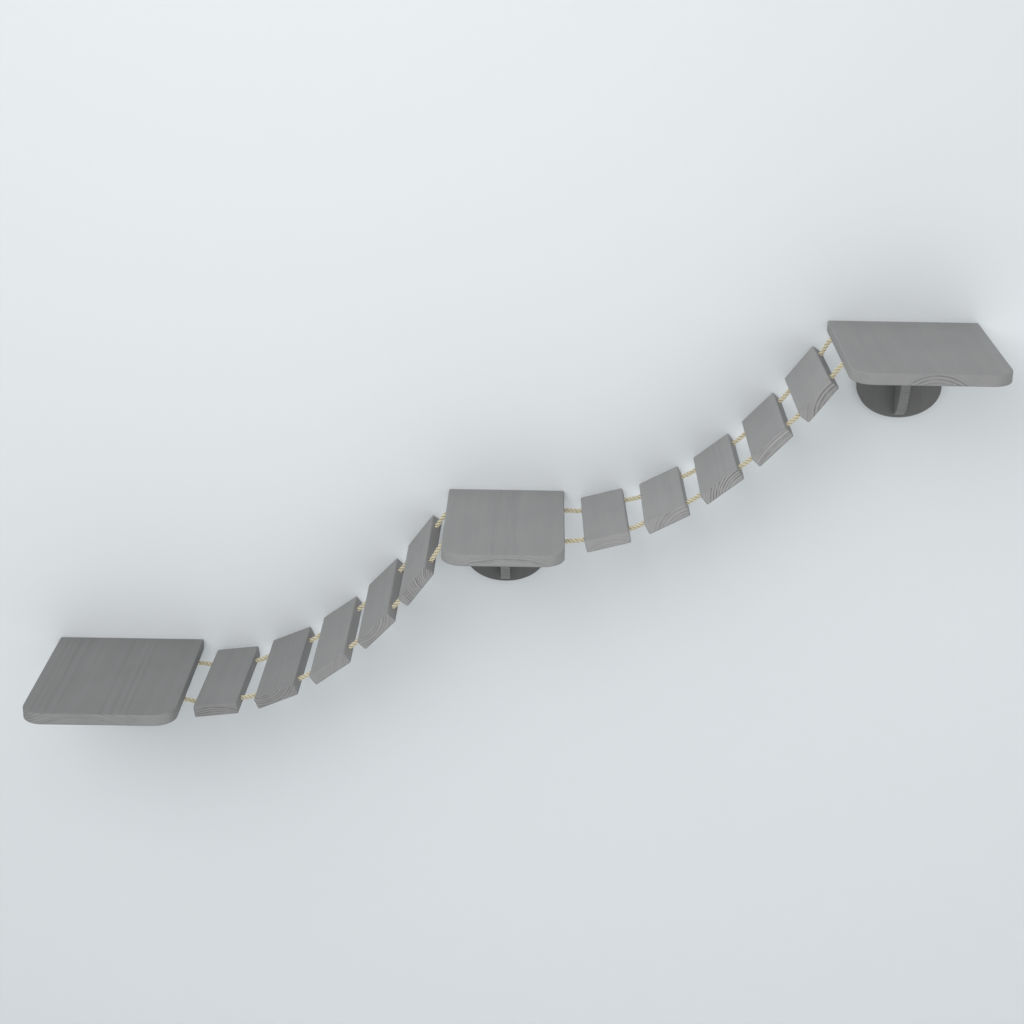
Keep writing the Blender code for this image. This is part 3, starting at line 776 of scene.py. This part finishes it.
def makeScrews():
    steel = makeSteel()
    pin, ribScrew = screwShape(pinLook), screwShape(ribScrewLook)
    places = {}
    for (side, number), place in planks.items():
        for rope in ropeSides:
            across = ropeYs()[rope] - place.to_translation().y
            node = f"{side}_plank_{number}_{rope}_pin"
            drop = Matrix.Translation((0, across, pinLook["recess"] - plankThickness / 2))
            places[node] = (pin, place @ drop @ headDown)
    for side, boards in bridges.items():
        for end, board in zip(("lower", "upper"), boards):
            for rope in ropeSides:
                node = f"{side}_{end}_board_{rope}_pin"
                places[node] = (pin, boardPinSpot(node))
    for side in ("left", "middle", "right"):
        for row in ("upper", "lower"):
            node = f"{side}_rib_{row}_screw"
            places[node] = (ribScrew, ribScrewSpot(node))
    for node, (template, place) in places.items():
        mesh = template.copy()
        mesh.transform(place)
        addPiece(node + "_steel", mesh, steel, "screw_steel", bodyOf[node], node)


plankThickness = sizeOn("left_plank_1", planks["left", 1]).z
makeScrews()
print("screws made")


# Ropes: three strands laid round each other, through every plank and in a groove under each board
ropeLook = {
    "radius": 0.004, "strandShare": 0.464, "strands": 3, "lay": 0.019, "yarnLay": -0.016, "yarns": 5,
    "sides": 12, "step": 0.0011, "bendShare": 1.3, "bendSteps": 40, "mouthTurn": 0.95,
    "mouthReach": 0.008, "mouthSteps": 16, "strandShift": 60, "sharpAngle": 70,
}
fibreLook = {
    "colour": (0.700, 0.620, 0.420, 1), "groove": (0.060, 0.034, 0.012, 1),
    "pale": (0.95, 0.90, 0.70, 1), "fibreNoise": (5.0, 5.0, 0.55), "tuftNoise": (1.3, 1.3, 0.5),
    "betweenEdge": (0.45, 1.0), "yarnShadeShare": 0.5, "fibreEdge": (0.3, 0.7),
    "tuftEdge": (0.5, 0.8), "tuftShare": 0.35, "valleyShadeEdge": (0.60, 0.88),
    "roughness": 0.78, "roughnessSpread": 0.15, "specular": 0.25, "sheen": 0.15,
    "bump": 0.6, "bumpDistance": 0.0004,
}


def makeRopeMaterial():
    material, tree, shader = newMaterial("twistedFibre")
    yarn = addNode(tree, "ShaderNodeAttribute", attribute_name="yarn").outputs["Vector"]
    outer = addNode(tree, "ShaderNodeAttribute", attribute_name="outer").outputs["Fac"]
    parts = addNode(tree, "ShaderNodeSeparateXYZ", {"Vector": yarn}).outputs
    look = fibreLook
    fibres = noise(tree, yarn, look["fibreNoise"], 4.0)
    tufts = noise(tree, yarn, look["tuftNoise"], 2.0)
    # The grooves between a strand's yarns, painted darker as shade and dipped in the bump
    turn = maths(tree, "ARCTAN2", parts["Y"], parts["X"])
    yarnWave = maths(tree, "COSINE", maths(tree, "MULTIPLY", turn, ropeLook["yarns"]))
    between = ramp(tree, yarnWave, *look["betweenEdge"])
    colour = mixColour(tree, ramp(tree, fibres, *look["fibreEdge"]), look["colour"], look["pale"])
    # Darker tufts at random, then painted shade: in the grooves between yarns, and in the valleys between strands,
    # the darker the nearer a point lies to the rope's axis
    for mask in (
        ramp(tree, tufts, *look["tuftEdge"], 0.0, look["tuftShare"]),
        maths(tree, "MULTIPLY", between, look["yarnShadeShare"]),
        ramp(tree, outer, *look["valleyShadeEdge"], 1.0, 0.0),
    ):
        colour = mixColour(tree, mask, colour, look["groove"])
    tree.links.new(colour, shader.inputs["Base Color"])
    rough = maths(tree, "MULTIPLY_ADD", fibres, look["roughnessSpread"], look["roughness"])
    tree.links.new(rough, shader.inputs["Roughness"])
    shader.inputs["Specular IOR Level"].default_value = look["specular"]
    shader.inputs["Sheen Weight"].default_value = look["sheen"]
    height = maths(tree, "SUBTRACT", fibres, between)
    bump = addNode(tree, "ShaderNodeBump", {
        "Height": height, "Strength": look["bump"], "Distance": look["bumpDistance"],
    })
    tree.links.new(bump.outputs[0], shader.inputs["Normal"])
    return material


def bend(start, startWay, end, endWay):
    # Points between two places on a smooth curve that leaves and arrives along the two ways
    pull = (end - start).length * ropeLook["bendShare"]
    points = []
    for i in range(1, ropeLook["bendSteps"]):
        t = i / ropeLook["bendSteps"]
        points.append(
            start * (2 * t ** 3 - 3 * t ** 2 + 1) + startWay * pull * (t ** 3 - 2 * t ** 2 + t)
            + end * (3 * t ** 2 - 2 * t ** 3) + endWay * pull * (t ** 3 - t ** 2)
        )
    return points


def straight(start, end):
    count = max(1, round((end - start).length / ropeLook["step"]))
    return [start.lerp(end, i / count) for i in range(1, count)]


levelWay = Vector((1, 0, 0))


def mouthWay(start, end):
    # A rope's way at a board's edge: turned from level towards the line to or from a plank
    return levelWay.lerp((end - start).normalized(), ropeLook["mouthTurn"]).normalized()


def mouthTurn(mouth, arriving, leaving):
    # A smooth turn at a board's edge, from the way a rope arrives to that it leaves
    start = mouth - arriving * ropeLook["mouthReach"]
    end = mouth + leaving * ropeLook["mouthReach"]
    shares = [i / ropeLook["mouthSteps"] for i in range(ropeLook["mouthSteps"] + 1)]
    return [start * (1 - t) ** 2 + mouth * (2 * t * (1 - t)) + end * t ** 2 for t in shares]


def ropeRoute(side, rope):
    # Centre points of a rope, and how far along it each plank and gap begins
    lower, upper = bridges[side]
    first, last = ropeEnd(f"{side}_{rope}_rope", True), ropeEnd(f"{side}_{rope}_rope", False)
    mouth = Vector((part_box(f"{lower}_board")[1].x, first.y, first.z))
    lastMouth = Vector((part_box(f"{upper}_board")[0].x, last.y, last.z))
    firstPlank = planks[side, 1]
    half = sizeOn(f"{side}_plank_1", firstPlank).x / 2
    firstEntry = firstPlank @ Vector((-half, first.y - firstPlank.to_translation().y, 0))
    way = mouthWay(mouth, firstEntry)
    turn = mouthTurn(mouth, levelWay, way)
    points = [first] + straight(first, turn[0]) + turn
    marks = [len(points) - 1 - ropeLook["mouthSteps"] // 2]
    for number in range(1, planksPerBridge + 1):
        place = planks[side, number]
        half = sizeOn(f"{side}_plank_{number}", place).x / 2
        across = first.y - place.to_translation().y
        entry, leave = place @ Vector((-half, across, 0)), place @ Vector((half, across, 0))
        along = (leave - entry).normalized()
        points += bend(points[-1], way, entry, along) + [entry]
        marks.append(len(points) - 1)
        points += straight(entry, leave) + [leave]
        marks.append(len(points) - 1)
        way = along
    lastWay = mouthWay(points[-1], lastMouth)
    turn = mouthTurn(lastMouth, lastWay, levelWay)
    points += bend(points[-1], way, turn[0], lastWay) + turn
    marks.append(len(points) - 1 - ropeLook["mouthSteps"] // 2)
    points += straight(turn[-1], last) + [last]
    lengths = [0.0]
    for here, there in zip(points, points[1:]):
        lengths.append(lengths[-1] + (there - here).length)
    return points, lengths, [lengths[mark] for mark in marks]


def along(points, lengths, distance):
    # The place that lies that far along a route
    low, high = 0, len(lengths) - 1
    while high - low > 1:
        middle = (low + high) // 2
        if lengths[middle] <= distance:
            low = middle
        else:
            high = middle
    share = (distance - lengths[low]) / (lengths[high] - lengths[low])
    return points[low].lerp(points[high], share)


def strandFrame(route, distance, strand):
    # A strand's centre, and the ways out from the rope and round the strand
    points, lengths = route
    reach = ropeLook["radius"] * (1 - ropeLook["strandShare"])
    nudge = ropeLook["step"] / 2

    def centreAt(spot):
        ahead = along(points, lengths, spot + nudge) - along(points, lengths, spot - nudge)
        ahead.normalize()
        aside = Vector((0, 1, 0))
        aside = (aside - ahead * aside.dot(ahead)).normalized()
        turn = 2 * math.pi * (spot / ropeLook["lay"] + strand / ropeLook["strands"])
        out = aside * math.cos(turn) + ahead.cross(aside) * math.sin(turn)
        return along(points, lengths, spot) + out * reach, out

    centre, out = centreAt(distance)
    ahead = (centreAt(distance + nudge)[0] - centreAt(distance - nudge)[0]).normalized()
    round_ = ahead.cross(out).normalized()
    return centre, out, round_


def makeRopePiece(name, route, start, end):
    # The stretch of a rope from start to end, in metres along its route
    steps = max(2, round((end - start) / ropeLook["step"]))
    shape = bmesh.new()
    yarn = shape.verts.layers.float_vector.new("yarn")
    outer = shape.verts.layers.float.new("outer")
    radius = ropeLook["radius"] * ropeLook["strandShare"]
    points, lengths = route
    for strand in range(ropeLook["strands"]):
        ring = bmesh.ops.create_circle(shape, segments=ropeLook["sides"], radius=1)["verts"]
        edges = list({edge for vert in ring for edge in vert.link_edges})
        old = set(shape.verts) - set(ring)
        bmesh.ops.spin(
            shape, geom=ring + edges, cent=(0, 0, 0), axis=(0, 0, 1), dvec=(0, 0, 1), angle=0,
            steps=steps,
        )
        tube = [vert for vert in shape.verts if vert not in old]
        open_ = [edge for edge in shape.edges if edge.is_boundary]
        bmesh.ops.holes_fill(shape, edges=open_, sides=0)
        frames = {}
        for vert in tube:
            step = round(vert.co.z)
            if step not in frames:
                distance = start + (end - start) * step / steps
                frames[step] = (distance, *strandFrame(route, distance, strand))
            distance, centre, out, aside = frames[step]
            turn = math.atan2(vert.co.y, vert.co.x)
            twist = turn + 2 * math.pi * distance / ropeLook["yarnLay"]
            place = centre + (out * math.cos(turn) + aside * math.sin(turn)) * radius
            axis = along(points, lengths, distance)
            lengthwise = distance / radius + ropeLook["strandShift"] * strand
            vert[yarn] = (math.cos(twist), math.sin(twist), lengthwise)
            # How far out from the rope's axis a point lies; the material paints shade where this is small, in the
            # valleys between strands
            vert[outer] = (place - axis).length / ropeLook["radius"]
            vert.co = place
    bmesh.ops.recalc_face_normals(shape, faces=shape.faces)
    return meshFrom(shape, name)


def addRopePiece(name, mesh, material, nodes):
    mesh.materials.append(material)
    mesh.shade_smooth()
    mesh.set_sharp_from_angle(angle=math.radians(ropeLook["sharpAngle"]))
    thing = linked(name, mesh)
    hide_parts(*nodes)
    return thing


def makeRopes():
    material = makeRopeMaterial()
    for side in bridges:
        span = f"{side}_span"
        for rope in ropeSides:
            node = f"{side}_{rope}_rope"
            points, lengths, marks = ropeRoute(side, rope)
            route = (points, lengths)
            spot = {mark: along(points, lengths, mark) for mark in marks}
            # A gap is split at its middle
            gaps = [(marks[i], marks[i + 1]) for i in range(0, len(marks), 2)]
            middles = [(low + high) / 2 for low, high in gaps]
            at = [along(points, lengths, middle) for middle in middles]
            inset = ropeLook["step"]
            stretches = [("root", span, inset, middles[0], spot[marks[0]], at[0])]
            for number in range(1, planksPerBridge + 1):
                unit = f"{side}_plank_{number}_unit"
                entry, leave = marks[2 * number - 1], marks[2 * number]
                core = (entry + leave) / 2
                stretches.append((span, unit, middles[number - 1], core, at[number - 1], spot[entry]))
                stretches.append((unit, span, core, middles[number], spot[leave], at[number]))
            stretches.append((span, "root", middles[-1], lengths[-1] - inset, at[-1], spot[marks[-1]]))
            for number, (first, second, start, end, fromSpot, toSpot) in enumerate(stretches, 1):
                mesh = makeRopePiece(f"{node}_part_{number}", route, start, end)
                piece = addRopePiece(f"{node}_part_{number}", mesh, material, [node])
                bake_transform(piece)
            print(f"{node}: {lengths[-1] * 1000:.0f} mm long")


makeRopes()
print("ropes made")


# Stage and light
stageLook = {
    "wall": (0.768, 0.803, 0.824, 1), "floor": (0.760, 0.780, 0.790, 1),
    "wallGap": 0.0006, "floorZ": -1.6, "size": 9.0, "roughness": 0.9,
    "lightGap": 0.002,  # light from behind passes the stage to faces that lie this close to it
}
lampLook = {
    "key": {"place": (-2.2, -3.0, 2.6), "size": 3.6, "watts": 54, "colour": (1.0, 0.995, 0.985)},
    "near": {"place": (0.1, -1.7, 1.7), "size": 1.2, "watts": 4, "colour": (1.0, 0.995, 0.985)},
    "nearLeft": {"place": (-0.6, -2.0, 1.3), "size": 1.2, "watts": 6, "colour": (1.0, 0.995, 0.985)},
    "right": {"place": (2.6, -2.4, 0.6), "size": 3.0, "watts": 13, "colour": (1.0, 1.0, 1.0)},
    "low": {"place": (0.6, -3.6, -1.2), "size": 4.0, "watts": 40, "colour": (1.0, 1.0, 1.0)},
}
lampAim = Vector((0, -0.1, 0.1))
worldLook = {"colour": (0.99, 0.995, 1.0, 1), "strength": 0.46, "seen": (0.86, 0.885, 0.90, 1)}


def stageMaterial(name, colour):
    # Plain paint that is see-through from behind, so that views from there aren't blocked
    material, tree, shader = newMaterial(name)
    shader.inputs["Base Color"].default_value = colour
    shader.inputs["Roughness"].default_value = stageLook["roughness"]
    output = next(found for found in tree.nodes if found.type == "OUTPUT_MATERIAL")
    behind = addNode(tree, "ShaderNodeNewGeometry").outputs["Backfacing"]
    path = addNode(tree, "ShaderNodeLightPath").outputs
    resting = maths(tree, "LESS_THAN", path["Ray Length"], stageLook["lightGap"])
    resting = maths(tree, "MULTIPLY", resting, maths(tree, "SUBTRACT", 1.0, path["Is Camera Ray"]))
    clear = addNode(tree, "ShaderNodeBsdfTransparent")
    mixed = addNode(tree, "ShaderNodeMixShader", {
        0: maths(tree, "MAXIMUM", behind, resting), 1: shader.outputs[0], 2: clear.outputs[0],
    })
    tree.links.new(mixed.outputs[0], output.inputs["Surface"])
    return material


def addStage():
    for name, place, turn in (
        ("wall", (0, stageLook["wallGap"], 0), Matrix.Rotation(math.radians(90), 4, "X")),
        ("floor", (0, 0, stageLook["floorZ"]), Matrix.Identity(4)),
    ):
        shape = bmesh.new()
        bmesh.ops.create_grid(shape, x_segments=1, y_segments=1, size=stageLook["size"] / 2)
        bmesh.ops.transform(shape, matrix=Matrix.Translation(place) @ turn, verts=shape.verts)
        thing = linked(name, meshFrom(shape, name))
        thing.data.materials.append(stageMaterial(name + "Paint", stageLook[name]))
    bpy.data.objects["wall"].visible_shadow = False


def addLamps():
    for name, look in lampLook.items():
        data = bpy.data.lights.new(name, "AREA")
        data.shape = "DISK"
        data.size = look["size"]
        data.energy = look["watts"]
        data.color = look["colour"]
        thing = linked(name, data)
        aim = (lampAim - Vector(look["place"])).to_track_quat("-Z", "Y")
        thing.matrix_world = Matrix.Translation(look["place"]) @ aim.to_matrix().to_4x4()
        thing.visible_camera = False


def addWorld():
    world = bpy.data.worlds.new("daylight")
    scene.world = world
    world.use_nodes = True
    tree = world.node_tree
    tree.nodes.clear()
    seen = addNode(tree, "ShaderNodeLightPath").outputs["Is Camera Ray"]
    ambient = addNode(tree, "ShaderNodeBackground", {
        "Color": worldLook["colour"], "Strength": worldLook["strength"],
    })
    pale = addNode(tree, "ShaderNodeBackground", {"Color": worldLook["seen"], "Strength": 1.0})
    mixed = addNode(tree, "ShaderNodeMixShader", {
        0: seen, 1: ambient.outputs[0], 2: pale.outputs[0],
    })
    addNode(tree, "ShaderNodeOutputWorld", {"Surface": mixed.outputs[0]})


addStage()
addLamps()
addWorld()
print("stage and light set")
